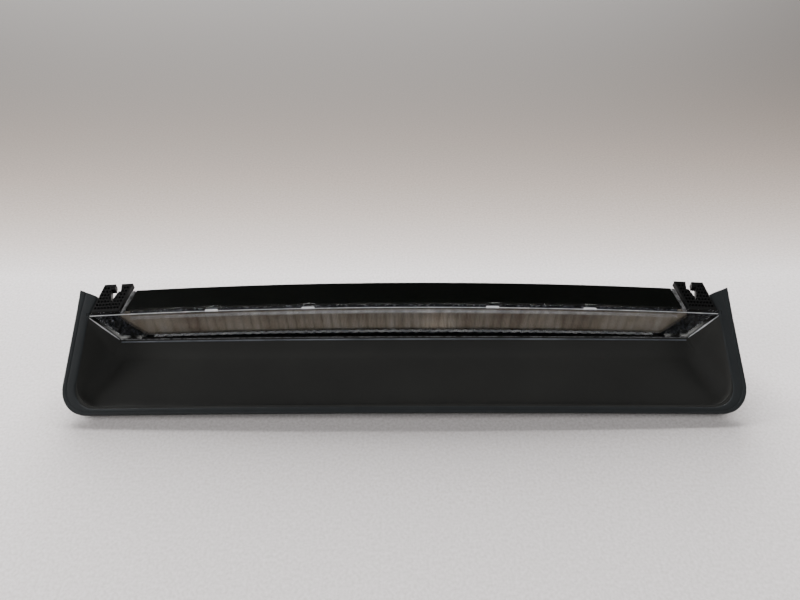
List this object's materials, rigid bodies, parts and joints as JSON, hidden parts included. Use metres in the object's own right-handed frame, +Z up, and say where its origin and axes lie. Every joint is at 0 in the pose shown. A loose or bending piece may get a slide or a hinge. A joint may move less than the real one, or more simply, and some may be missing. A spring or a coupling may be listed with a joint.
{
  "type": "third brake light",
  "caption": "High-mounted stop lamp: a wide black scoop shroud with a clear trapezoid lens over a fluted optic and LED board, and a keyhole clip block at each end.",
  "frame": {"origin": "under the centre of the whole lamp, on the surface it lies on", "axes": "+X along the lamp, -Y towards the shroud's front rim, +Y towards the lamp's back and its connector, +Z up"},
  "size_m": [0.504, 0.092, 0.0566],
  "materials": {
    "shroud_black": "fine-grained moulded",
    "seal_black": "soft matt",
    "clip_black": "moulded",
    "housing_black": "satin",
    "lens_clear": "polished",
    "optic_clear": "fluted",
    "bezel_black": "high gloss",
    "reflector_bright": "vacuum metallised",
    "board_green": "solder mask",
    "led_body": "moulded",
    "chip_black": "moulded",
    "capacitor_can": "satin",
    "socket_black": "moulded",
    "terminal_tin": "tinned",
    "screw_steel": "zinc plated"
  },
  "bodies": {
    "root": {"shroud": "shroud_black", "glass_seal": "seal_black", "outer_lens": "lens_clear", "inner_bezel": "bezel_black", "fluted_optic": "optic_clear", "reflector": "reflector_bright", "led_board": "board_green", "leds": "led_body", "current_resistors": "chip_black", "filter_capacitors": "capacitor_can", "driver_chip": "chip_black", "protection_diode": "chip_black", "connector_header": "socket_black", "connector_terminals": "terminal_tin", "lamp_housing": "housing_black", "board_screws": "screw_steel", "lamp_screws": "screw_steel", "left_clip_block": "clip_black", "right_clip_block": "clip_black", "clip_block_screws": "screw_steel"}
  },
  "joints": []
}
